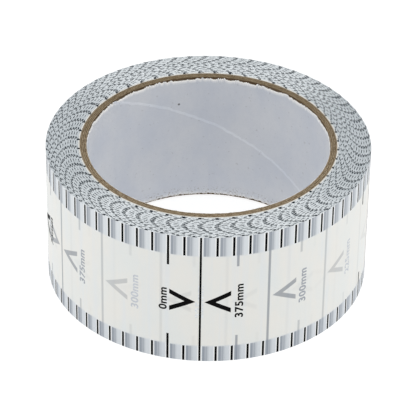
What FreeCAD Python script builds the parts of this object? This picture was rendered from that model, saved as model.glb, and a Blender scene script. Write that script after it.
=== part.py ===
import FreeCAD, Part

import math
import os

# A roll of printed self-adhesive gauge tape (a brick-course measuring tape) wound on a spiral-wound cardboard core.
# Millimetres. The origin is the centre of the roll's bottom face and +Z runs up the axis of the roll.
# Angles are measured from the front (-Y) towards the right (+X), so they run anticlockwise seen from above.

# ---- driving dimensions -------------------------------------------------------------------------------------------
WIDTH = 47.0            # width of the tape and length of the core
CORE_BORE_R = 38.10     # 3 inch core bore (76.2 mm)
LINER_T = 0.25          # white paper liner on the inside of the core
PLY_COUNT = 4           # kraft plies glued round the liner
CORE_OUTER_R = 40.50    # outside of the cardboard core
ROLL_R = 51.20          # outside of the roll at the free end of the tape
FILM_T = 0.062          # printed film with its adhesive: about 173 turns from core to outside
ADHESIVE_T = 0.020      # the adhesive layer, which is the gap under the free end's film
SEAM_PITCH = 114.9      # lead of the spiral seams in the core (101.6 mm paper strip wound at 25.6 degrees)
SEAM_GAP = 0.30         # butt gap between neighbouring turns of one strip
LINER_SEAM_ANGLE = 88.3  # where the liner's seam leaves the bottom edge, degrees
PLY_SEAM_STEP = 72.0    # each ply's seam is turned by this from the one inside it
FREE_END_ANGLE = 153.12  # the tape's cut end, degrees
END_LINKS = (15.0, 15.0, 13.5)  # the flexible free end in three segments, hinged line to line: their arc lengths
END_INSET = 0.10        # the free end's edges sit this far inside the roll's faces
HINGE_GAP = 0.02        # clearance between neighbouring segments of the film

os.makedirs("parts", exist_ok=True)
V = FreeCAD.Vector
UP = V(0, 0, 1)


def out(deg):
    """Unit vector pointing out of the roll at an angle."""
    a = math.radians(deg)
    return V(math.sin(a), -math.cos(a), 0)


def export(shape, node):
    shape.exportStep("parts/%s.step" % node)
    print("%-18s volume %9.2f mm3  valid %s  solids %d" % (node, shape.Volume, shape.isValid(), len(shape.Solids)))


# ---- cardboard core -----------------------------------------------------------------------------------------------
def tube(r_in, r_out, height):
    outer = Part.makeCylinder(r_out, height, V(0, 0, 0), UP)
    return outer.cut(Part.makeCylinder(r_in, height + 2, V(0, 0, -1), UP))


def seam_cutter(r_in, r_out, angle_at_bottom):
    """The butt gap of one spiral strip: a thin rib that follows the strip's helix through the wall."""
    extra = 3.0
    height = WIDTH + 2 * extra
    r_mid = (r_in + r_out) / 2
    helix = Part.makeHelix(SEAM_PITCH, height, r_mid)        # starts on +X and climbs anticlockwise
    depth = (r_out - r_in) / 2 + 0.15
    half = SEAM_GAP / 2 / math.cos(math.atan(SEAM_PITCH / (2 * math.pi * r_mid)))
    points = [V(r_mid - depth, 0, -half), V(r_mid + depth, 0, -half), V(r_mid + depth, 0, half),
              V(r_mid - depth, 0, half), V(r_mid - depth, 0, -half)]
    rib = Part.Wire(helix).makePipeShell([Part.makePolygon(points)], True, True)
    # turn the rib so that it crosses z = 0 at the wanted angle (+X is 90 degrees)
    turn = angle_at_bottom - 90.0 - extra / SEAM_PITCH * 360.0
    rib.translate(V(0, 0, -extra))
    rib.rotate(V(0, 0, 0), UP, turn)
    return rib


def core_layer(r_in, r_out, seam_angle):
    return tube(r_in, r_out, WIDTH).cut(seam_cutter(r_in, r_out, seam_angle)).removeSplitter()


liner_outer = CORE_BORE_R + LINER_T
ply_t = (CORE_OUTER_R - liner_outer) / PLY_COUNT
export(core_layer(CORE_BORE_R, liner_outer, LINER_SEAM_ANGLE), "core_liner")
for i in range(PLY_COUNT):
    inner = liner_outer + i * ply_t
    export(core_layer(inner, inner + ply_t, LINER_SEAM_ANGLE + (i + 1) * PLY_SEAM_STEP), "core_ply_%d" % (i + 1))


# ---- wound tape ---------------------------------------------------------------------------------------------------
# One turn of the film's spiral is four quarter arcs, tangent to one another, whose centres are the corners of a
# square with sides of a quarter of the film's thickness. Quarter k runs from FREE_END_ANGLE - 90 k to the left.
quarter = FILM_T / 4
centres = [(out(FREE_END_ANGLE - 90) + out(FREE_END_ANGLE - 180)) * (-quarter / 2)]
for k in range(1, 4):
    centres.append(centres[-1] + out(FREE_END_ANGLE - 90 * k) * quarter)


def spiral_point(turned, depth):
    """A point of the film, turned degrees to the left of the free end and depth mm below its outer face."""
    k = min(int(turned // 90), 3)
    return centres[k] + out(FREE_END_ANGLE - turned) * (ROLL_R - k * quarter - depth)


def spiral_edges(start, end, depth):
    """Arcs of the spiral from start to end degrees left of the free end."""
    cuts = [start] + [q for q in (90.0, 180.0, 270.0) if start < q < end] + [end]
    edges = []
    for a, b in zip(cuts, cuts[1:]):
        k = min(int((a + b) / 2 // 90), 3)
        r = ROLL_R - k * quarter - depth
        p = [centres[k] + out(FREE_END_ANGLE - x) * r for x in (a, (a + b) / 2, b)]
        edges.append(Part.Arc(*p).toShape())
    return edges


def film(start, end, low_depth, z0, z1):
    """A stretch of film between two angles to the left of the free end."""
    top = spiral_edges(start, end, 0.0)
    low = spiral_edges(start, end, low_depth)

    def ends(edges, first):
        edge = edges[0] if first else edges[-1]
        return edge.Vertexes[0].Point if first else edge.Vertexes[-1].Point

    sides = [Part.makeLine(ends(top, True), ends(low, True)), Part.makeLine(ends(top, False), ends(low, False))]
    wire = Part.Wire(Part.__sortEdges__(top + low + sides))
    solid = Part.Face(wire).extrude(V(0, 0, z1 - z0))
    solid.translate(V(0, 0, z0))
    return solid


# every inner turn together: a ring whose outside is the face that the last turn lies on, with its step of one film
outside = spiral_edges(0.0, 360.0, FILM_T)
step = Part.makeLine(outside[-1].Vertexes[-1].Point, outside[0].Vertexes[0].Point)
pack = Part.Face(Part.Wire(Part.__sortEdges__(outside + [step]))).extrude(V(0, 0, WIDTH))
pack = pack.cut(Part.makeCylinder(CORE_OUTER_R, WIDTH + 2, V(0, 0, -1), UP))
export(pack, "tape_pack")

# the last turn, stuck down, from the step round to the peel line
link_deg = [math.degrees(length / ROLL_R) for length in END_LINKS]
gap_deg = math.degrees(HINGE_GAP / 2 / ROLL_R)
export(film(sum(link_deg) + gap_deg, 360.0, FILM_T, 0.0, WIDTH), "tape_outer_turn")

# the free end, which peels off: segment 1 is at the peel line and the last segment ends at the cut
for i in range(len(END_LINKS)):
    far = sum(link_deg[i + 1:])
    near = far + link_deg[i]
    start = far + (gap_deg if far > 0 else 0.0)
    export(film(start, near - gap_deg, FILM_T - ADHESIVE_T, END_INSET, WIDTH - END_INSET), "tape_end_%d" % (i + 1))
    hinge = spiral_point(near, 0.0)
    print("   hinge %d at %.5f %.5f, %.3f degrees" % (i + 1, hinge.x, hinge.y, FREE_END_ANGLE - near))
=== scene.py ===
import math

import bmesh
import bpy
import numpy as np
from mathutils import Matrix, Vector


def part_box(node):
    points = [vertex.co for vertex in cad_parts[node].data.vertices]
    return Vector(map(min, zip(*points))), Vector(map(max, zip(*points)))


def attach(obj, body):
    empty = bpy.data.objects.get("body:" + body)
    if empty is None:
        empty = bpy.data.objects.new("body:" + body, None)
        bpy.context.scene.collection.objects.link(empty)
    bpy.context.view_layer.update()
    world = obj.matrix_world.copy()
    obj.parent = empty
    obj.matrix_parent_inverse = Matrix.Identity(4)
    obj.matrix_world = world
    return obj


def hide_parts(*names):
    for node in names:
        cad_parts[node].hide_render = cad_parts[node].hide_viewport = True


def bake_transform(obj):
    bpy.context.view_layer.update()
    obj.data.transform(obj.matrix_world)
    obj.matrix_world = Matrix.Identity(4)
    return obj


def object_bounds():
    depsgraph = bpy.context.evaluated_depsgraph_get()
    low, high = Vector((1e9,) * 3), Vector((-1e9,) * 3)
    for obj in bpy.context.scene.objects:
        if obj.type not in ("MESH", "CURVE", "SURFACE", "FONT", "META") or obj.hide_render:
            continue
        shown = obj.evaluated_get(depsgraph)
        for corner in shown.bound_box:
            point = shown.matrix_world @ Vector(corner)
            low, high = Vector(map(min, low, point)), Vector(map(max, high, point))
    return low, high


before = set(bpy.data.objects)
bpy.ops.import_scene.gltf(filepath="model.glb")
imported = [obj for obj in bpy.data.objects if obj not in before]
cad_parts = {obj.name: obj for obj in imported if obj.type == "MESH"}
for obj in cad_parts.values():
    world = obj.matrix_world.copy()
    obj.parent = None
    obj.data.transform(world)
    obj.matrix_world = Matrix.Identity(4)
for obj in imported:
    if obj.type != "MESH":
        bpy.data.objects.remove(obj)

CAD_LO, CAD_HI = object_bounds()

# A roll of printed adhesive gauge tape on a spiral-wound cardboard core. Lengths below are millimetres and are turned into
# metres when a mesh is made. Angles run from the front (-Y) towards the right (+X), anticlockwise seen from above.
MM = 0.001
H = CAD_HI.z / MM                                   # width of the tape, 47
BORE = 38.10
LINER_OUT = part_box("core_liner")[1].x / MM          # 38.35
CORE_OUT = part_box("core_ply_4")[1].x / MM           # 40.5
ROLL = 51.20                                        # outside at the free end
FILM = 0.062                                        # thickness of one turn
TAB_FILM = 0.042                                    # the film without its adhesive, which is the gap under the free end
END = math.radians(153.12)                          # where the tape is cut
END_X = 138.5                                       # the cut on the tape's own scale (x = 0 is the 0 / 375 line)
HINGES_X = (95.0, 110.0, 125.0)
PERIOD = 375.0

# ---------------------------------------------------------------------------------------------------------------------
# small tools
# ---------------------------------------------------------------------------------------------------------------------


def spiral_s(phi):
    """Length of tape from its free end, phi radians into the roll."""
    return ROLL * phi - FILM * phi * phi / (4 * math.pi)


def spiral_phi(s):
    """The angle into the roll at a length of tape from the free end."""
    s = np.asarray(s, float)
    return (ROLL - np.sqrt(ROLL * ROLL - FILM * s / math.pi)) * 2 * math.pi / FILM


def x_to_phi(x):
    return spiral_phi(END_X - np.asarray(x, float))


def on_roll(phi, depth=0.0):
    """(angle, radius) of the film's outer face less depth. The film lies 0.009 mm low, so that the ink on it stays inside the roll's size."""
    return END - phi, ROLL - 0.009 - FILM * phi / (2 * math.pi) - depth


def xyz(alpha, r, z):
    alpha, r, z = np.broadcast_arrays(np.asarray(alpha, float), np.asarray(r, float), np.asarray(z, float))
    return np.stack([r * np.sin(alpha), -r * np.cos(alpha), z], -1)


def make(name, verts, faces, material, smooth=True, attributes=None, keep_sharp=None):
    """A mesh object from millimetre points."""
    mesh = bpy.data.meshes.new(name)
    mesh.from_pydata([tuple(v) for v in (np.asarray(verts, float) * MM)], [], [tuple(int(i) for i in f) for f in faces])
    mesh.update()
    for key, values in (attributes or {}).items():
        layer = mesh.attributes.new(key, "FLOAT", "POINT")
        layer.data.foreach_set("value", np.asarray(values, np.float32))
    obj = bpy.data.objects.new(name, mesh)
    bpy.context.scene.collection.objects.link(obj)
    mesh.materials.append(material)
    if smooth:
        mesh.shade_smooth()
        if keep_sharp is not None:
            mesh.set_sharp_from_angle(angle=math.radians(keep_sharp))
    return obj


def periodic_noise(n, cycles_low, cycles_high, seed, slope=1.0):
    """Smooth noise round a ring of n points, with that many waves per turn, of unit deviation."""
    rng = np.random.default_rng(seed)
    k = np.arange(1, min(cycles_high, n // 2) + 1)
    amp = np.where(k >= cycles_low, 1.0 / np.maximum(k, 1) ** (slope / 2), 0.0)
    spec = np.zeros(n // 2 + 1, complex)
    spec[k] = amp * np.exp(2j * np.pi * rng.random(len(k)))
    out = np.fft.irfft(spec, n)
    return out / out.std()


def grid_faces(nu, nv, wrap_u=False, wrap_v=False, flip=False):
    """Quads over an nu by nv grid of points stored row by row (v fastest)."""
    faces = []
    for i in range(nu if wrap_u else nu - 1):
        for j in range(nv if wrap_v else nv - 1):
            a, b = i * nv + j, ((i + 1) % nu) * nv + j
            c, d = ((i + 1) % nu) * nv + (j + 1) % nv, i * nv + (j + 1) % nv
            faces.append((a, d, c, b) if flip else (a, b, c, d))
    return faces


def film_strip(name, x0, x1, thick, z0, z1, material, depth=0.0, step=0.45, rows=13, wave=0.0, seed=5):
    """A closed thin strip of the tape from x0 to x1 on its scale, lying on the roll."""
    n = max(3, int(math.ceil((x1 - x0) / step)) + 1)
    xs = np.linspace(x0, x1, n)
    phi = x_to_phi(xs)
    zs = np.linspace(0, 1, rows)
    alpha, r = on_roll(phi, depth)
    ripple = np.zeros((n, rows))
    if wave:
        rng = np.random.default_rng(seed)
        for _ in range(14):
            kx, kz = rng.uniform(0.05, 0.6), rng.uniform(-0.05, 0.05)
            ripple += np.sin(kx * xs[:, None] + kz * zs[None, :] * H + rng.uniform(0, 6.28)) * rng.uniform(0.3, 1)
        ripple *= wave / 6.0
    zz = z0 + (z1 - z0) * zs
    outer = xyz(alpha[:, None], r[:, None] - np.abs(ripple), zz[None, :])
    inner = xyz(alpha[:, None], r[:, None] - np.abs(ripple) - thick, zz[None, :])
    m = n * rows
    verts = np.concatenate([outer.reshape(-1, 3), inner.reshape(-1, 3)])
    faces = grid_faces(n, rows) + [tuple(m + i for i in f[::-1]) for f in grid_faces(n, rows)]
    for i in range(n - 1):
        a, b = i * rows, (i + 1) * rows
        faces.append((a, m + a, m + b, b))
        a, b = a + rows - 1, b + rows - 1
        faces.append((a, b, m + b, m + a))
    for j in range(rows - 1):
        faces.append((j, j + 1, m + j + 1, m + j))
        a = (n - 1) * rows + j
        faces.append((a, m + a, m + a + 1, a + 1))
    tx = np.repeat(xs, rows)
    tz = np.tile(zz, n)
    side = np.repeat([1.0, 0.0], m)
    return make(name, verts, faces, material, attributes={"tape_x": np.tile(tx, 2), "tape_z": np.tile(tz, 2), "tape_side": side}, keep_sharp=40)


def ring_of(name, angles, profile, material, keep_sharp=35, attributes=None):
    """A closed ring: profile is an array (angle, point, 2) of radius and height."""
    n, m = profile.shape[:2]
    verts = xyz(angles[:, None], profile[:, :, 0], profile[:, :, 1]).reshape(-1, 3)
    return make(name, verts, grid_faces(n, m, True, True), material, keep_sharp=keep_sharp, attributes=attributes)


# ---------------------------------------------------------------------------------------------------------------------
# materials
# ---------------------------------------------------------------------------------------------------------------------


def srgb(r, g, b):
    return tuple(c / 255 / 12.92 if c / 255 <= 0.04045 else ((c / 255 + 0.055) / 1.055) ** 2.4 for c in (r, g, b))


class Nodes:
    """A short way to write shader nodes. Inputs are numbers or sockets."""

    def __init__(self, name):
        self.mat = bpy.data.materials.new(name)
        self.mat.use_nodes = True
        self.tree = self.mat.node_tree
        self.bsdf = self.tree.nodes["Principled BSDF"]

    def put(self, socket, value):
        if isinstance(value, bpy.types.NodeSocket):
            self.tree.links.new(value, socket)
        elif isinstance(value, (tuple, list)) and len(value) == 3 and socket.type == "RGBA":
            socket.default_value = (*value, 1.0)
        else:
            socket.default_value = value

    def node(self, kind, **settings):
        n = self.tree.nodes.new(kind)
        for k, v in settings.items():
            setattr(n, k, v)
        return n

    def math(self, op, a, b=None, c=None, clamp=False):
        n = self.node("ShaderNodeMath", operation=op, use_clamp=clamp)
        for s, v in zip(n.inputs, (a, b, c)):
            if v is not None:
                self.put(s, v)
        return n.outputs[0]

    def add(self, a, b):
        return self.math("ADD", a, b)

    def sub(self, a, b):
        return self.math("SUBTRACT", a, b)

    def mul(self, a, b):
        return self.math("MULTIPLY", a, b)

    def step(self, value, low, high, to0=0.0, to1=1.0, smooth=True):
        n = self.node("ShaderNodeMapRange", interpolation_type="SMOOTHSTEP" if smooth else "LINEAR")
        n.clamp = True
        for s, v in zip(n.inputs[:5], (value, low, high, to0, to1)):
            self.put(s, v)
        return n.outputs[0]

    def mix(self, factor, a, b, blend="MIX"):
        n = self.node("ShaderNodeMix", data_type="RGBA", blend_type=blend)
        self.put(n.inputs[0], factor)
        self.put(n.inputs[6], a)
        self.put(n.inputs[7], b)
        return n.outputs[2]

    def attribute(self, name):
        return self.node("ShaderNodeAttribute", attribute_name=name).outputs["Fac"]

    def vector(self, x, y, z):
        n = self.node("ShaderNodeCombineXYZ")
        for s, v in zip(n.inputs, (x, y, z)):
            self.put(s, v)
        return n.outputs[0]

    def noise(self, vector, scale, detail=3.0, rough=0.55, distortion=0.0, kind="ShaderNodeTexNoise"):
        n = self.node(kind)
        self.put(n.inputs["Vector"], vector)
        self.put(n.inputs["Scale"], scale)
        self.put(n.inputs["Detail"], detail)
        self.put(n.inputs["Roughness"], rough)
        self.put(n.inputs["Distortion"], distortion)
        return n.outputs["Fac"]

    def object_mm(self):
        """Object coordinates in millimetres, and (x, y, z)."""
        coords = self.node("ShaderNodeTexCoord").outputs["Object"]
        scaled = self.node("ShaderNodeVectorMath", operation="SCALE")
        self.put(scaled.inputs[0], coords)
        scaled.inputs["Scale"].default_value = 1000.0
        parts = self.node("ShaderNodeSeparateXYZ")
        self.put(parts.inputs[0], scaled.outputs[0])
        return scaled.outputs[0], parts.outputs[0], parts.outputs[1], parts.outputs[2]

    def bump(self, height, distance_mm, strength=1.0):
        n = self.node("ShaderNodeBump")
        n.inputs["Strength"].default_value = strength
        n.inputs["Distance"].default_value = distance_mm * MM
        self.put(n.inputs["Height"], height)
        self.put(self.bsdf.inputs["Normal"], n.outputs[0])

    def finish(self, color, roughness=0.5, specular=0.5, **more):
        self.put(self.bsdf.inputs["Base Color"], color)
        self.put(self.bsdf.inputs["Roughness"], roughness)
        self.bsdf.inputs["Specular IOR Level"].default_value = specular
        for k, v in more.items():
            self.bsdf.inputs[k.replace("_", " ")].default_value = v
        return self.mat


# print positions across the tape, from the bottom edge
MID_Z = 22.8
TOP_SHORT, TOP_LONG = H - 6.95, H - 11.0
LOW_SHORT, LOW_LONG = 5.75, 9.75
TICK_W = 0.72
LINE_W = 0.66


def turn_offset(n):
    """How much longer the tape is n turns further in, at the 0 / 375 line."""
    phi0 = float(x_to_phi(0.0))
    return 2 * math.pi * n * ROLL - FILM * n * phi0 - math.pi * FILM * n * n


def ghost_factor(m, x, z, strengths):
    """Brightness left by the print of the turns underneath, seen through the film."""
    bright = None
    for n, (g, blur) in enumerate(strengths, start=1):
        u = m.sub(m.mul(x, 1.0 - n * FILM / ROLL), turn_offset(n))
        half = TICK_W / 2
        # short marks along both edges
        drift = (0.14, 0.32, 0.45, 0.55, 0.6, 0.6)[n - 1]
        tick = m.step(m.math("PINGPONG", m.add(u, drift), 2.5), half - blur * 0.6, half + blur, 1.0, 0.0)
        band = m.math("MAXIMUM", m.step(z, TOP_SHORT - blur, TOP_SHORT + blur), m.step(z, LOW_SHORT - blur, LOW_SHORT + blur, 1.0, 0.0))
        cover = m.mul(tick, band)
        # the line at each figure, and the long mark 10 mm to its left
        line = m.step(m.math("PINGPONG", u, 37.5), half - blur * 0.6, half + blur, 1.0, 0.0)
        cover = m.math("MAXIMUM", cover, line)
        long_ = m.step(m.math("PINGPONG", m.add(u, 10.0), 37.5), half - blur * 0.6, half + blur, 1.0, 0.0)
        far = m.math("MAXIMUM", m.step(z, TOP_LONG - blur, TOP_LONG + blur), m.step(z, LOW_LONG - blur, LOW_LONG + blur, 1.0, 0.0))
        cover = m.math("MAXIMUM", cover, m.mul(long_, far))
        # the arrow to the right of each line
        v = m.math("WRAP", u, 67.5, -7.5)
        dz = m.math("ABSOLUTE", m.sub(z, MID_Z))
        across = m.sub(m.mul(m.sub(v, 1.28), 0.505), dz)            # inside the outer edge
        arrow = m.mul(m.step(across, -blur, blur), m.step(across, 1.72 - blur, 1.72 + blur, 1.0, 0.0))
        arrow = m.mul(arrow, m.step(v, 9.41 - blur, 9.41 + blur, 1.0, 0.0))
        cover = m.math("MAXIMUM", cover, arrow)
        # the second arrow to the left of the line where the scale starts again
        v = m.math("WRAP", m.mul(u, -1.0), 367.5, -7.5)
        across = m.sub(m.mul(m.sub(v, 1.47), 0.505), dz)
        arrow = m.mul(m.step(across, -blur, blur), m.step(across, 1.72 - blur, 1.72 + blur, 1.0, 0.0))
        arrow = m.mul(arrow, m.step(v, 9.57 - blur, 9.57 + blur, 1.0, 0.0))
        cover = m.math("MAXIMUM", cover, arrow)
        left = m.sub(1.0, m.mul(cover, g))
        bright = left if bright is None else m.mul(bright, left)
    return bright


FILM_WHITE = srgb(223, 222, 217)
GHOSTS = ((0.62, 0.12), (0.34, 0.22), (0.13, 0.38), (0.07, 0.50), (0.05, 0.55), (0.03, 0.60))


def film_material(name, strengths, alpha=1.0, lighter=0.0):
    m = Nodes(name)
    x, z = m.attribute("tape_x"), m.attribute("tape_z")
    # the warm white of the plastic, clouded by adhesive and trapped air
    cloud = m.noise(m.vector(m.mul(x, 0.10), m.mul(z, 0.05), 0.0), 1.0, 4.0, 0.6)
    streak = m.noise(m.vector(m.mul(x, 0.35), m.mul(z, 0.012), 3.0), 1.0, 3.0, 0.6)
    color = m.mix(m.step(cloud, 0.35, 0.70), FILM_WHITE, srgb(218, 221, 219))
    color = m.mix(m.step(streak, 0.45, 0.80, 0.0, 0.6), color, srgb(213, 219, 224))
    if lighter:
        color = m.mix(lighter, color, (0.97, 0.97, 0.96))
    if strengths:
        # many turns of edge marks far below tint both edges blue grey
        band = m.math("MAXIMUM", m.step(z, TOP_SHORT - 0.7, TOP_SHORT + 0.5), m.step(z, LOW_SHORT - 0.5, LOW_SHORT + 0.7, 1.0, 0.0))
        color = m.mix(m.mul(band, 0.85), color, srgb(206, 212, 217))
        lower = m.step(z, LOW_SHORT - 0.5, LOW_SHORT + 0.7, 1.0, 0.0)
        color = m.mix(m.mul(lower, 0.55), color, srgb(194, 200, 206))
        beside = m.mul(m.step(m.math("PINGPONG", x, 2.5), 0.55, 0.85, 1.0, 0.0), band)
        color = m.mix(m.mul(beside, 0.75), color, srgb(240, 241, 240))
        bright = ghost_factor(m, x, z, strengths)
        ink = m.mix(1.0, color, srgb(118, 134, 160), "MULTIPLY")
        dark = m.math("DIVIDE", m.sub(1.0, bright), 1.0)
        color = m.mix(dark, color, m.mix(0.5, ink, srgb(60, 66, 78)))
    # faint pull lines and the orange-peel of thin film
    ripples = m.noise(m.vector(m.mul(x, 0.9), m.mul(z, 0.06), 7.0), 1.0, 3.0, 0.6)
    grain = m.noise(m.vector(m.mul(x, 3.0), m.mul(z, 3.0), 1.0), 1.0, 2.0, 0.5)
    m.bump(m.add(m.mul(ripples, 0.8), m.mul(grain, 0.15)), 0.05, 0.5)
    rough = m.add(0.36, m.mul(grain, 0.10))
    mat = m.finish(color, rough, 0.45)
    if alpha < 1.0:
        # the printed face is milky; the inner face adds little to it
        m.put(m.bsdf.inputs["Alpha"], m.step(m.attribute("tape_side"), 0.0, 1.0, 0.30, alpha, smooth=False))
    return mat


def ink_material(name, color, rough=0.42, specular=0.2):
    m = Nodes(name)
    vec, _, _, _ = m.object_mm()
    fine = m.noise(vec, 2.2, 4.0, 0.65)
    tone = m.mix(m.step(fine, 0.3, 0.75), color, tuple(c * 1.35 + 0.0006 for c in color))
    m.bump(fine, 0.01, 0.3)
    return m.finish(tone, m.add(rough, m.mul(fine, 0.12)), specular)


def edge_material(name):
    """The wound tape's end face: the edges of many turns side by side."""
    m = Nodes(name)
    vec, x, y, z = m.object_mm()
    r = m.math("SQRT", m.add(m.mul(x, x), m.mul(y, y)))
    rings = m.noise(m.vector(m.mul(r, 6.0), 0.0, 0.0), 1.0, 3.0, 0.7)
    wander = m.noise(m.vector(m.mul(x, 0.8), m.mul(y, 0.8), m.mul(r, 4.0)), 1.0, 3.0, 0.6)
    cloud = m.noise(vec, 0.16, 3.0, 0.55)
    color = m.mix(m.step(rings, 0.30, 0.72), srgb(208, 215, 219), srgb(236, 240, 242))
    color = m.mix(m.step(wander, 0.45, 0.75, 0.0, 0.5), color, srgb(200, 207, 212))
    color = m.mix(m.step(cloud, 0.45, 0.7, 0.0, 0.35), color, srgb(216, 223, 224))
    # painted shade: the end face is mixed towards grey by up to 62% at its left and right sides, standing in for the
    # light falling less there
    side = m.math("DIVIDE", m.math("ABSOLUTE", x), m.math("MAXIMUM", r, 1.0))
    color = m.mix(m.step(side, 0.55, 1.0, 0.0, 0.62), color, srgb(172, 180, 185))
    color = m.mix(m.step(r, 40.75, 41.05, 0.8, 0.0), color, srgb(226, 223, 215))
    m.bump(m.add(rings, m.mul(wander, 0.5)), 0.04, 0.7)
    return m.finish(color, 0.5, 0.4)


def kraft_material(name, seed):
    m = Nodes(name)
    vec, x, y, z = m.object_mm()
    r = m.math("SQRT", m.add(m.mul(x, x), m.mul(y, y)))
    angle = m.math("ARCTAN2", x, m.mul(y, -1.0))
    along = m.vector(m.mul(angle, 40.0), m.mul(r, 7.0), m.add(m.mul(z, 1.2), seed * 3.7))
    fibre = m.noise(along, 0.55, 5.0, 0.68, 0.4)
    fine = m.noise(vec, 3.2, 4.0, 0.7)
    blotch = m.noise(vec, 0.22, 3.0, 0.5)
    color = m.mix(m.step(fibre, 0.32, 0.70), srgb(112, 95, 70), srgb(190, 172, 145))
    color = m.mix(m.step(fine, 0.46, 0.66, 0.0, 0.75), color, srgb(84, 70, 50))
    color = m.mix(m.step(fine, 0.34, 0.46, 0.85, 0.0), color, srgb(204, 190, 166))
    color = m.mix(m.step(blotch, 0.42, 0.66, 0.0, 0.4), color, srgb(150, 134, 109))
    # painted shade: the kraft is mixed darker towards the back of the core (y > 0)
    color = m.mix(m.step(y, -25.0, 36.0, 0.0, 0.34), color, srgb(100, 86, 62))
    # a dark glue line where this ply meets the next
    ply = m.math("PINGPONG", m.sub(r, LINER_OUT), (CORE_OUT - LINER_OUT) / 8)
    color = m.mix(m.mul(m.step(ply, 0.05, 0.22, 0.85, 0.0), m.step(fibre, 0.30, 0.60, 1.0, 0.45)), color, srgb(76, 60, 40))
    # painted shade: the innermost wall of the first ply, in the recess behind the liner, is darkened
    color = m.mix(m.step(r, LINER_OUT + 0.03, LINER_OUT + 0.12, 0.7, 0.0), color, srgb(74, 58, 40))
    m.bump(m.add(m.mul(fibre, 0.7), m.mul(fine, 0.5)), 0.12, 0.8)
    return m.finish(color, 0.9, 0.15)


def liner_material(name, painted_highlight_gain=1.0, rim=False):
    m = Nodes(name)
    vec, x, y, z = m.object_mm()
    angle = m.math("ARCTAN2", x, m.mul(y, -1.0))
    around = m.mul(angle, BORE)
    cloud = m.noise(m.vector(m.mul(around, 0.07), m.mul(z, 0.05), 0.0), 1.0, 4.0, 0.6)
    fibre = m.noise(m.vector(m.mul(around, 0.9), m.mul(z, 0.9), 2.0), 1.0, 5.0, 0.7, 1.2)
    # brown board showing faintly through thin paper, at the ends most of all
    edge = m.math("MAXIMUM", m.step(z, H - 2.2, H), m.step(z, 0.0, 2.4, 1.0, 0.0))
    stain = m.mul(m.step(fibre, 0.52, 0.72), edge)
    # painted highlight: a gain above 1 makes a lighter copy of this paper, used for the lap's ridge
    base = m.mix(m.step(cloud, 0.32, 0.70), srgb(206 * painted_highlight_gain, 208 * painted_highlight_gain, 212 * painted_highlight_gain), srgb(197 * painted_highlight_gain, 201 * painted_highlight_gain, 209 * painted_highlight_gain))
    base = m.mix(m.step(fibre, 0.42, 0.80, 0.0, 0.35), base, srgb(186, 189, 196))
    color = m.mix(m.mul(stain, 0.35), base, srgb(166, 150, 128))
    # glue and board dust rubbed on to the lower part, at the back
    vec2 = m.vector(m.mul(around, 1.6), m.mul(z, 1.6), 9.0)
    spots = m.step(m.noise(vec2, 1.0, 2.0, 0.6), 0.56, 0.64)
    low_back = m.mul(m.step(z, 0.4, 5.0, 1.0, 0.0), m.step(y, 14.0, 34.0))
    color = m.mix(m.mul(m.mul(spots, low_back), 0.8), color, srgb(118, 102, 82))
    dust = m.mul(m.step(fibre, 0.36, 0.52), m.mul(m.step(z, 0.5, 1.3, 1.0, 0.0), m.step(y, 6.0, 26.0)))
    color = m.mix(m.mul(dust, 0.85), color, srgb(106, 88, 68))
    # one dark speck in the paper, high on the back
    far = m.add(m.math("POWER", m.sub(m.mul(angle, BORE), -109.7), 2.0), m.math("POWER", m.sub(z, 37.0), 2.0))
    color = m.mix(m.step(far, 0.08, 0.22, 0.8, 0.0), color, srgb(66, 62, 60))
    flecks = m.step(m.noise(m.vector(m.mul(around, 0.75), m.mul(z, 0.75), 4.0), 1.0, 1.0, 0.5), 0.70, 0.74)
    color = m.mix(m.mul(flecks, 0.30), color, srgb(150, 148, 150))
    if rim:
        torn_edge = m.attribute("rim")
        color = m.mix(m.mul(torn_edge, m.step(m.noise(vec, 2.4, 3.0, 0.6), 0.30, 0.5, 0.55, 1.0)), color, srgb(254, 252, 247))
    m.bump(m.add(m.mul(fibre, 0.5), m.mul(cloud, 0.8)), 0.06, 0.6)
    return m.finish(color, 0.82, 0.2)


INK = (0.0012, 0.0012, 0.0014)
film_main = film_material("white_film", GHOSTS)
film_end = film_material("white_film_end", GHOSTS)
ink_black = ink_material("black_print", INK, 0.5, 0.04)
ghost_inks = [ink_material("print_one_turn_down", srgb(146, 151, 158)),
              ink_material("print_two_turns_down", srgb(180, 184, 190)),
              ink_material("print_three_turns_down", srgb(203, 207, 210))]
edge_face = edge_material("wound_tape_edge")
paper = liner_material("liner_paper", 1.0, rim=True)
# painted highlight: the lap's paper is the liner paper made 5.5% lighter, standing in for the light on its raised ridge
paper_seam_painted_highlight = liner_material("liner_paper_overlap_painted_highlight", 1.055)

# ---------------------------------------------------------------------------------------------------------------------
# print: flat outlines on the tape's scale, wrapped on to the roll as thin ink
# ---------------------------------------------------------------------------------------------------------------------


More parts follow.
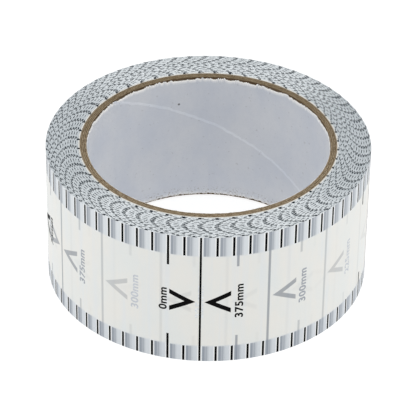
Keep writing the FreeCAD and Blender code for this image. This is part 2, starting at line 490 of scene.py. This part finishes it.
def wrap_print(name, flats, material, depth, thick=0.010, cut=0.5, radial=None):
    """flats is a bmesh of faces in the plane (x on the scale, height). They are cut into narrow upright bands, wrapped, and given thickness."""
    xs = [v.co.x for v in flats.verts]
    x0, x1 = min(xs), max(xs)
    for x in np.arange(math.floor(x0 / cut) * cut + cut * 0.37, x1, cut):
        geom = [f for f in flats.faces if min(v.co.x for v in f.verts) < x < max(v.co.x for v in f.verts)]
        if geom:
            edges = {e for f in geom for e in f.edges}
            verts = {v for f in geom for v in f.verts}
            bmesh.ops.bisect_plane(flats, geom=list(verts) + list(edges) + geom, plane_co=(float(x), 0, 0), plane_no=(1, 0, 0), dist=1e-5)
    flats.verts.ensure_lookup_table()
    flats.verts.index_update()
    pts = np.array([(v.co.x, v.co.y) for v in flats.verts])
    phi = x_to_phi(pts[:, 0])
    alpha, r = on_roll(phi, depth)
    top = xyz(alpha, r + thick, pts[:, 1])
    low = xyz(alpha, r, pts[:, 1])
    m = len(pts)
    faces = []
    for f in flats.faces:
        ids = [v.index for v in f.verts]
        area = sum(pts[a][0] * pts[b][1] - pts[b][0] * pts[a][1] for a, b in zip(ids, ids[1:] + ids[:1]))
        if area < 0:
            ids = ids[::-1]
        faces.append(tuple(ids))
        faces.append(tuple(m + i for i in ids[::-1]))
    used = {}
    for ids in faces[::2]:
        for a, b in zip(ids, ids[1:] + ids[:1]):
            used[(a, b)] = True
    for a, b in list(used):
        if (b, a) not in used:
            faces.append((b, a, m + a, m + b))
    flats.free()
    return make(name, np.concatenate([top, low]), faces, material, smooth=False)


def box_flat(bm, x0, x1, z0, z1):
    v = [bm.verts.new((x, z, 0)) for x, z in ((x0, z0), (x1, z0), (x1, z1), (x0, z1))]
    bm.faces.new(v)


def poly_flat(bm, points):
    bm.faces.new([bm.verts.new((x, z, 0)) for x, z in points])


def arrow_flat(bm, x_line, left=False):
    """An open arrowhead whose tip points at the line."""
    s = -1.0 if left else 1.0
    tip, end, inner = (1.47, 9.57, 4.87) if left else (1.28, 9.41, 4.71)
    k = 0.505
    half_out = k * (end - tip)
    half_in = k * (end - inner)
    for side in (1, -1):
        pts = [(x_line + s * tip, MID_Z), (x_line + s * end, MID_Z + side * half_out), (x_line + s * end, MID_Z + side * half_in), (x_line + s * inner, MID_Z)]
        poly_flat(bm, pts)


_text_cache = {}


def text_flat(bm, body, x_tops, x_base, length, z_mid):
    """A figure that reads upwards, its tops to the left at x_tops and its feet at x_base."""
    if body not in _text_cache:
        curve = bpy.data.curves.new("figure", "FONT")
        curve.body = body
        curve.size = 1.0
        curve.offset = 0.028
        curve.resolution_u = 4
        curve.space_character = 1.06
        holder = bpy.data.objects.new("figure", curve)
        bpy.context.scene.collection.objects.link(holder)
        bpy.context.view_layer.update()
        got = bpy.data.meshes.new_from_object(holder.evaluated_get(bpy.context.evaluated_depsgraph_get()))
        pts = np.array([v.co[:2] for v in got.vertices])
        polys = [tuple(p.vertices) for p in got.polygons]
        bpy.data.objects.remove(holder)
        bpy.data.curves.remove(curve)
        bpy.data.meshes.remove(got)
        _text_cache[body] = (pts, polys)
    pts, polys = _text_cache[body]
    u0, u1 = pts[:, 0].min(), pts[:, 0].max()
    foot, top = 0.0, 0.70
    u = (pts[:, 0] - (u0 + u1) / 2) / (u1 - u0) * length + z_mid
    v = x_base + (x_tops - x_base) * (pts[:, 1] - foot) / (top - foot)
    made = [bm.verts.new((float(a), float(b), 0)) for a, b in zip(v, u)]
    for p in polys:
        try:
            bm.faces.new([made[i] for i in p])
        except ValueError:
            pass
    bmesh.ops.remove_doubles(bm, verts=made, dist=1e-4)


FIGURE_LENGTH = {"375mm": 12.66, "300mm": 12.66, "225mm": 12.66, "150mm": 12.4, "75mm": 10.2, "0mm": 8.35}


def figure_name(p):
    return "%dmm" % (PERIOD if p == 0 else p)


def print_flats(x0, x1, shift=0.0, marks=True, figures=True, arrows=True):
    """Everything printed between x0 and x1. shift moves the print, as for a turn further in."""
    bm = bmesh.new()
    k0, k1 = math.ceil((x0 - shift) / 5 - 1e-6), math.floor((x1 - shift) / 5 + 1e-6)
    top, low = H - 0.02, 0.02
    for k in range(k0, k1 + 1):
        x = shift + 5 * k
        if x < x0 or x > x1:
            continue
        if marks:
            if k % 15 == 0:
                box_flat(bm, x - LINE_W / 2, x + LINE_W / 2, low, top)
            else:
                long_ = k % 15 == 13
                box_flat(bm, x - TICK_W / 2, x + TICK_W / 2, TOP_LONG if long_ else TOP_SHORT, top)
                box_flat(bm, x - TICK_W / 2, x + TICK_W / 2, low, LOW_LONG if long_ else LOW_SHORT)
    for k in range(k0 - 4, k1 + 5):
        if k % 15:
            continue
        x = shift + 5 * k
        p = int(round((-5 * k) % PERIOD))
        if arrows and x + 1.4 > x0 and x + 9.6 < x1:
            arrow_flat(bm, x)
        if figures and x + 10.6 > x0 and x + 13.2 < x1:
            body = figure_name(p)
            text_flat(bm, body, x + 10.68, x + 13.12, FIGURE_LENGTH[body], MID_Z + 0.1)
        if p == 0:
            if arrows and x - 9.8 > x0 and x - 1.4 < x1:
                arrow_flat(bm, x, left=True)
            if figures and x - 12.9 > x0 and x - 10.4 < x1:
                text_flat(bm, "0mm", x - 12.85, x - 10.42, FIGURE_LENGTH["0mm"], MID_Z + 0.1)
    return bm


# ---------------------------------------------------------------------------------------------------------------------
# the tape: last turn, free end, print
# ---------------------------------------------------------------------------------------------------------------------
INNER_X = -236.0        # the modelled strip goes on under the free end, so that peeling it shows the next turn
last_turn = film_strip("film_last_turn", INNER_X, HINGES_X[0], FILM - 0.004, 0.0, H, film_main, wave=0.004)
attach(last_turn, "roll")
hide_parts("tape_outer_turn")

print_last = wrap_print("print_last_turn", print_flats(INNER_X + 1, HINGES_X[0] + 0.1), ink_black, 0.0)
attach(print_last, "roll")

ghosts = []
for n in (1, 2, 3):
    # figures of the turns underneath, seen through the film
    bm = bmesh.new()
    scale = 1.0 - n * FILM / ROLL
    for k in range(-60, 90):
        x = (turn_offset(n) + 75.0 * (k - 4 * n)) / scale
        p = int(round((75.0 * -(k - 4 * n)) % PERIOD))
        if x + 10.6 > -180 and x + 13.2 < 84:
            body = figure_name(p)
            text_flat(bm, body, x + 10.68, x + 13.12, FIGURE_LENGTH[body], MID_Z + 0.1)
        if p == 0 and x - 12.9 > -180 and x - 10.4 < 84:
            text_flat(bm, "0mm", x - 12.85, x - 10.42, FIGURE_LENGTH["0mm"], MID_Z + 0.1)
    g = wrap_print("figures_%d_down" % n, bm, ghost_inks[n - 1], 0.0, thick=0.007 - 0.0015 * n)
    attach(g, "roll")
    ghosts.append(g)

EDGE_IN = 0.10          # the free end's edges sit this far inside the faces
zones = [(HINGES_X[0], 102.5, "roll", "free_end_1", HINGES_X[0], 102.5, "tape_end_1"),
         (102.5, 117.5, "free_end_1", "free_end_2", 102.5, 117.5, "tape_end_2"),
         (117.5, 132.5, "free_end_2", "free_end_3", 117.5, 132.5, "tape_end_3"),
         (132.5, END_X, None, "free_end_3", None, None, None)]


def frame_point(x):
    phi = float(x_to_phi(x))
    a, r = on_roll(phi, 0.0)
    return tuple(float(c) * MM for c in xyz(a, r, H / 2))


for i, (x0, x1, a, b, start, end, node) in enumerate(zones, start=1):
    film = film_strip("film_free_end_%d" % i, x0, x1, TAB_FILM, EDGE_IN, H - EDGE_IN, film_end, step=0.4)
    bm = bmesh.new()
    for k in range(int(math.ceil((x0 + 0.4) / 5)), int(math.floor((x1 - 0.4) / 5)) + 1):
        x = 5.0 * k
        long_ = k % 15 == 13
        box_flat(bm, x - TICK_W / 2, x + TICK_W / 2, TOP_LONG if long_ else TOP_SHORT, H - EDGE_IN - 0.02)
        box_flat(bm, x - TICK_W / 2, x + TICK_W / 2, EDGE_IN + 0.02, LOW_LONG if long_ else LOW_SHORT)
    marks = wrap_print("print_free_end_%d" % i, bm, ink_black, 0.0) if len(bm.faces) else None
    for piece in (film, marks):
        if piece is None:
            continue
        if a is None:
            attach(piece, b)
        else:
            frame_point(start)
            frame_point(end)
            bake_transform(piece)
    if node:
        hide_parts(node)

# ---------------------------------------------------------------------------------------------------------------------
# the wound turns, and the ink that shows on their edges
# ---------------------------------------------------------------------------------------------------------------------
N_ANG = 256
ang = np.linspace(0, 2 * math.pi, N_ANG, endpoint=False)
turns_out = ROLL - 2 * FILM - 0.01
radii = np.linspace(CORE_OUT, turns_out, 96)
rng = np.random.default_rng(11)
lift = rng.uniform(-0.018, 0.018, len(radii))
lift[0] = lift[-1] = 0.0
slow = 0.010 * np.sin(2 * ang[:, None] + radii[None, :] * 0.9)
z_top = H - 0.035 + lift[None, :] + slow
z_low = 0.035 - lift[None, ::-1] - slow[:, ::-1]
top = np.stack([np.broadcast_to(radii, z_top.shape), z_top], -1)
low = np.stack([np.broadcast_to(radii[::-1], z_low.shape), z_low], -1)
profile = np.concatenate([low, top], 1)
turns = ring_of("wound_turns", ang, profile[:, ::-1], edge_face, keep_sharp=60)
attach(turns, "roll")
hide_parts("tape_pack")


def edge_ink(name, z_face, up, which):
    """Where each printed mark reaches the edge of the film, on every turn: a small dark patch as thick as the film.
    Marks that line up with those of the turns above and below look dark; single ones are veiled by the clear film."""
    r_first, pitch = 51.201, 0.060878                   # the mean spiral of the whole winding
    deepest = (r_first - CORE_OUT) / pitch * 2 * math.pi
    total = r_first * deepest - pitch * deepest ** 2 / (4 * math.pi)
    s = 3.468 + 5.0 * np.arange(0, int(total / 5.0) + 1)
    s = s[(s > (END_X - HINGES_X[0]) + 1.0) & (s < total - 2.0)]

    def wound(length, depth):
        phi = (r_first - np.sqrt(r_first * r_first - pitch * length / math.pi)) * 2 * math.pi / pitch
        return END - phi, r_first - pitch * phi / (2 * math.pi) - depth

    rank = np.abs((2 * math.pi * wound(s, 0)[1] + 2.5) % 5.0 - 2.5)       # how far one turn's marks miss the next turn's
    inner = wound(s, 0)[1] < 41.02
    group = np.where(inner, 3, np.where(rank < 0.50, 0, np.where(rank > 2.05, 1, 2)))
    s = s[group == which]
    # no winding is perfect: the marks wander slowly, and each a little on its own
    rng = np.random.default_rng(60 + which)
    a_mid, r_mid = wound(s, 0)
    half = np.array((0.40, 0.58, 0.38, 0.30))[which] * rng.uniform(0.55, 1.40, len(s))
    s = s + 0.75 * np.sin(2.0 * a_mid + 0.9) * np.sin((r_mid - CORE_OUT) * 0.42 + 0.6) + rng.normal(0, 0.12, len(s))
    s = s + 0.20 * np.sin(17.0 * a_mid + 3.9 * r_mid) * np.sin(11.0 * a_mid - 2.7 * r_mid + 1.1)
    thick = 0.006
    layers, corners = [], []
    spread = (0.70, 1.10, 0.0, 0.0)[which] * pitch       # marks in step run together into one blot
    for ss, d in ((s - half, 0.001 - spread), (s + half, 0.001 - spread), (s + half, pitch - 0.001 + spread), (s - half, pitch - 0.001 + spread)):
        a, r = wound(ss, d)
        corners.append((a, np.clip(r, CORE_OUT + 0.002, turns_out - 0.004)))
    for z in ((z_face, z_face - thick) if up else (z_face + thick, z_face)):
        for a, r in corners:
            layers.append(xyz(a, r, z))
    pts = np.stack(layers, 1).reshape(-1, 3)
    faces = []
    for i in range(len(s)):
        o = 8 * i
        t, b = [o, o + 1, o + 2, o + 3], [o + 4, o + 5, o + 6, o + 7]
        faces.append(tuple(t))
        faces.append(tuple(b[::-1]))
        for q in range(4):
            w = (q + 1) % 4
            faces.append((t[q], b[q], b[w], t[w]))
    return finish_ink(make(name, pts, faces, edge_inks[which], smooth=False))


def finish_ink(obj):
    bm = bmesh.new()
    bm.from_mesh(obj.data)
    bmesh.ops.recalc_face_normals(bm, faces=bm.faces)
    bm.to_mesh(obj.data)
    bm.free()
    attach(obj, "roll")
    return obj


def core_ticks(name, z_face, up):
    """The first turns lie with their marks in step: short dark bars right beside the core, 5 mm apart."""
    count = 51
    verts, faces = [], []
    rng = np.random.default_rng(19)
    bars = []
    for k in range(count):
        mid = math.radians(177.6) + 2 * math.pi * k / count
        r0, r1 = CORE_OUT + 0.05, CORE_OUT + 0.62 + 0.25 * rng.random()
        lean = 0.004 * rng.normal()
        w = 0.34 + 0.05 * rng.random()
        if math.cos(mid) > 0.80:        # at the front it is the next ring out that is in step
            mid, r0, r1, w = mid + math.radians(2.87), r0 + 0.42, r1 + 0.55, w + 0.10
        bars.append((mid, r0, r1, lean, w))
    # the last few turns are in step as well, seen as a row of dots along the front of the rim
    for k in range(-8, 9):
        mid = float(on_roll(x_to_phi(5.0 * k))[0]) + 2.8 / ROLL
        w = 0.42 + 0.05 * rng.random() - 0.012 * abs(k)
        bars.append((mid, 50.36, 50.99, 0.002 * rng.normal(), w))
    for mid, r0, r1, lean, w in bars:
        o = len(verts)
        for z in ((z_face, z_face - 0.006) if up else (z_face + 0.006, z_face)):
            for da, r in ((-w / r0, r0), (w / r0, r0), (w / r1 + lean, r1), (-w / r1 + lean, r1)):
                verts.append(xyz(mid + da, r, z))
        t, b = [o, o + 1, o + 2, o + 3], [o + 4, o + 5, o + 6, o + 7]
        faces.append(tuple(t))
        faces.append(tuple(b[::-1]))
        for q in range(4):
            w2 = (q + 1) % 4
            faces.append((t[q], b[q], b[w2], t[w2]))
    return finish_ink(make(name, np.array(verts), faces, edge_inks[0], smooth=False))


edge_inks = [ink_material("edge_print_in_step", srgb(30, 37, 44), 0.5, 0.05),
             ink_material("edge_print_half_step", srgb(28, 36, 44), 0.5, 0.05),
             ink_material("edge_print_single", srgb(104, 114, 121), 0.5, 0.05),
             ink_material("edge_print_first_turns", srgb(196, 194, 188), 0.5, 0.05)]
for side, z, up in (("top", H - 0.001, True), ("bottom", 0.001, False)):
    for which in range(4):
        edge_ink("edge_ink_%s_%d" % (side, which + 1), z, up, which)
    core_ticks("edge_ink_%s_core" % side, z + (0.0004 if up else -0.0004), up)

# ---------------------------------------------------------------------------------------------------------------------
# the cardboard core
# ---------------------------------------------------------------------------------------------------------------------
N_CORE = 1080
core_ang = np.linspace(0, 2 * math.pi, N_CORE, endpoint=False)
ply_t = (CORE_OUT - LINER_OUT) / 4
for i in range(4):
    r0, r1 = LINER_OUT + i * ply_t + 0.006, LINER_OUT + (i + 1) * ply_t - 0.006
    across = np.array([0.0, 0.12, 0.35, 0.65, 0.88, 1.0])
    drop = np.array([0.16, 0.07, 0.02, 0.02, 0.07, 0.16])
    wall = r0 + (r1 - r0) * across
    ends = []
    for which, seed in (("top", 40 + i), ("low", 80 + i)):
        rough = np.stack([0.05 * np.abs(periodic_noise(N_CORE, 20, 420, seed * 10 + q, 0.6)) + 0.03 * np.abs(periodic_noise(N_CORE, 3, 40, seed * 10 + 5, 1.0)) for q in range(len(across))], 1)
        # soften each column with its neighbour, so that the cut looks torn and not spiky
        rough = (rough + np.roll(rough, 1, 0) + np.roll(rough, -1, 0)) / 3
        ends.append(np.clip(rough + drop, 0.0, 0.38))
    jitter = 0.012 * periodic_noise(N_CORE, 30, 300, 700 + i, 0.6)[:, None] * np.ones(len(across))
    rr = np.broadcast_to(wall, (N_CORE, len(across))) + jitter * np.array([0.6, 1, 1, 1, 1, 0.6])
    rr = np.clip(rr, r0 - 0.003, r1 + 0.003)
    top = np.stack([rr, H - ends[0]], -1)
    low = np.stack([rr[:, ::-1], 0.0 + ends[1][:, ::-1]], -1)
    body = np.concatenate([low, top], 1)
    ply = ring_of("kraft_ply_%d" % (i + 1), core_ang, body[:, ::-1], kraft_material("kraft_ply_%d" % (i + 1), i), keep_sharp=75)
    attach(ply, "roll")
    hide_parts("core_ply_%d" % (i + 1))

# the paper liner, torn along both ends where the core was cut
N_LIN = 1440
lin_ang = np.linspace(0, 2 * math.pi, N_LIN, endpoint=False)


def torn(seed, deep, calm_front):
    big = periodic_noise(N_LIN, 10, 60, seed, 0.7)
    mid = periodic_noise(N_LIN, 50, 180, seed + 1, 0.8)
    fine = periodic_noise(N_LIN, 150, 640, seed + 2, 0.4)
    edge = 0.26 + deep * np.clip(big + 0.45, 0, 1.9) / 1.9 + 0.20 * np.clip(mid, -0.5, 2) + 0.30 * np.abs(fine)
    # torn most at the back and the left, almost clean at the front
    where = 1.0 - calm_front * np.clip(0.5 + 0.5 * np.cos(lin_ang - math.radians(15)), 0, 1) ** 1.5
    return 0.05 + np.clip(edge * where, 0.0, 0.95)


tear_top, tear_low = torn(301, 0.80, 0.75), torn(351, 0.30, 0.2) + 0.05
rows = 26
frac = np.concatenate([[0.0, 0.004, 0.012, 0.03], np.linspace(0.07, 0.93, rows - 8), [0.97, 0.988, 0.996, 1.0]])
z_in = tear_low[:, None] + (H - tear_top - tear_low)[:, None] * frac[None, :]
wavy = np.zeros((N_LIN, rows))
rng = np.random.default_rng(77)
for _ in range(22):
    ka, kz = rng.integers(3, 26), rng.uniform(-0.25, 0.25)
    wavy += np.sin(ka * lin_ang[:, None] + kz * z_in + rng.uniform(0, 6.28)) * rng.uniform(0.2, 1.0)
wavy *= 0.006
lip = np.exp(-np.minimum(z_in - tear_low[:, None], (H - tear_top)[:, None] - z_in) / 0.25)
curl = lip * (0.03 * periodic_noise(N_LIN, 20, 200, 391, 0.8))[:, None]
r_in = BORE + 0.045 + wavy + np.clip(curl, -0.03, 0.06)
inner = np.stack([r_in, z_in], -1)
outer = np.stack([np.minimum(r_in + 0.16, LINER_OUT - 0.004)[:, ::-1], z_in[:, ::-1]], -1)
from_rim = np.minimum(z_in - tear_low[:, None], (H - tear_top)[:, None] - z_in)
rim = np.clip(1.40 - from_rim / 0.62, 0.0, 1.0) * (0.25 + 0.75 * (np.clip(tear_top, 0, 0.5) / 0.5))[:, None]
rim[:, : rows // 2] *= 0.5
liner = ring_of("paper_liner", lin_ang, np.concatenate([inner, outer], 1), paper, keep_sharp=60,
                attributes={"rim": np.concatenate([rim, rim[:, ::-1]], 1).reshape(-1)})
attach(liner, "roll")
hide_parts("core_liner")

# the liner's spiral lap: a low ridge of double paper that climbs anticlockwise
SEAM_LEAD = 114.9
seam_start = math.radians(88.3)
zz = np.linspace(0.55, H - 0.65, 240)
a_mid = seam_start + zz / SEAM_LEAD * 2 * math.pi
cross = np.array([-0.46, -0.34, -0.12, 0.14, 0.36, 0.48])
rise = np.array([0.0, 0.055, 0.075, 0.06, 0.03, 0.0])

tilt = math.atan(SEAM_LEAD / (2 * math.pi * BORE))
wander = np.interp(zz, zz, 0.10 * periodic_noise(240, 4, 40, 411, 0.8))
s_along = (cross[None, :] + wander[:, None]) * math.sin(tilt) * -1.0
s_up = (cross[None, :] + wander[:, None]) * math.cos(tilt)
a = a_mid[:, None] + s_along / BORE
z = np.clip(zz[:, None] + s_up, 0.35, H - 0.4)
face = xyz(a, BORE + 0.045 - 0.012 - rise[None, :] * 0.45, z)
back = xyz(a, BORE + 0.10, z)
m = face.shape[0] * face.shape[1]
faces = grid_faces(240, len(cross)) + [tuple(m + i for i in f[::-1]) for f in grid_faces(240, len(cross))]
c = len(cross)
for i in range(239):
    faces.append((i * c, m + i * c, m + (i + 1) * c, (i + 1) * c))
    faces.append((i * c + c - 1, (i + 1) * c + c - 1, m + (i + 1) * c + c - 1, m + i * c + c - 1))
for j in range(c - 1):
    faces.append((j, j + 1, m + j + 1, m + j))
    e = 239 * c + j
    faces.append((e, m + e, m + e + 1, e + 1))
seam = make("liner_lap", np.concatenate([face.reshape(-1, 3), back.reshape(-1, 3)]), faces, paper_seam_painted_highlight, keep_sharp=60)
bm = bmesh.new()
bm.from_mesh(seam.data)
bmesh.ops.recalc_face_normals(bm, faces=bm.faces)
bm.to_mesh(seam.data)
bm.free()
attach(seam, "roll")

# ---------------------------------------------------------------------------------------------------------------------
# floor, light, camera
# ---------------------------------------------------------------------------------------------------------------------
scene = bpy.context.scene
floor_mesh = bpy.data.meshes.new("floor")
floor_mesh.from_pydata([(-3, -3, -0.0001), (3, -3, -0.0001), (3, 3, -0.0001), (-3, 3, -0.0001)], [], [(0, 1, 2, 3)])
floor = bpy.data.objects.new("floor", floor_mesh)
scene.collection.objects.link(floor)
fm = Nodes("pale_floor")
fm.bsdf.inputs["Base Color"].default_value = (0.35, 0.35, 0.35, 1)
fm.bsdf.inputs["Roughness"].default_value = 0.9
fm.bsdf.inputs["Specular IOR Level"].default_value = 0.0
fm.bsdf.inputs["Emission Color"].default_value = (1, 1, 1, 1)
fm.bsdf.inputs["Emission Strength"].default_value = 0.80
floor_mesh.materials.append(fm.mat)

world = bpy.data.worlds.new("studio")
world.use_nodes = True
world.node_tree.nodes["Background"].inputs["Color"].default_value = (1.0, 1.0, 1.0, 1)
world.node_tree.nodes["Background"].inputs["Strength"].default_value = 0.73
scene.world = world


def area(name, place, target, size, power):
    light = bpy.data.lights.new(name, "AREA")
    light.shape = "SQUARE"
    light.size = size
    light.energy = power
    o = bpy.data.objects.new(name, light)
    scene.collection.objects.link(o)
    o.location = place
    o.rotation_euler = (Vector(target) - Vector(place)).to_track_quat("-Z", "Y").to_euler()
    return o


area("soft_front", (0.2, -0.9, 0.8), (0, 0, 0.02), 0.9, 0.8)
area("soft_back", (-0.1, 0.6, 0.85), (0, 0, 0.03), 0.9, 1.0)
area("soft_left", (-0.8, -0.05, 0.65), (0, 0, 0.03), 0.8, 2.2)
area("soft_right", (0.8, -0.05, 0.65), (0, 0, 0.03), 0.8, 2.2)

# the camera: 35.3 degrees above the horizon, 860 mm away, a long lens, rolled by one degree
D, ELEV, YAW, PITCH, ROLLED, FOCAL = 16.80 * ROLL, 35.25, 0.0133, 0.098, -0.96, 2693.0
e = math.radians(ELEV)
place = np.array([0, -D * math.cos(e), D * math.sin(e)])
back = place / np.linalg.norm(place)
right = np.array([1.0, 0, 0])
up = np.cross(back, right)
base = np.stack([right, up, back])
ya, pi_, ro = (math.radians(v) for v in (YAW, PITCH, ROLLED))
ry = np.array([[math.cos(ya), 0, math.sin(ya)], [0, 1, 0], [-math.sin(ya), 0, math.cos(ya)]])
rx = np.array([[1, 0, 0], [0, math.cos(pi_), -math.sin(pi_)], [0, math.sin(pi_), math.cos(pi_)]])
rz = np.array([[math.cos(ro), -math.sin(ro), 0], [math.sin(ro), math.cos(ro), 0], [0, 0, 1]])
rot = rz @ rx @ ry @ base
cam_data = bpy.data.cameras.new("camera")
cam_data.sensor_width = 36.0
cam_data.lens = FOCAL / 416.0 * 36.0
cam_data.clip_start, cam_data.clip_end = 0.01, 20.0
cam = bpy.data.objects.new("camera", cam_data)
scene.collection.objects.link(cam)
world_matrix = np.eye(4)
world_matrix[:3, :3] = rot.T
world_matrix[:3, 3] = (place + np.array([0, 0, H / 2])) * MM
cam.matrix_world = Matrix(world_matrix.tolist())
scene.camera = cam

scene.view_settings.view_transform = "Standard"
scene.view_settings.look = "None"
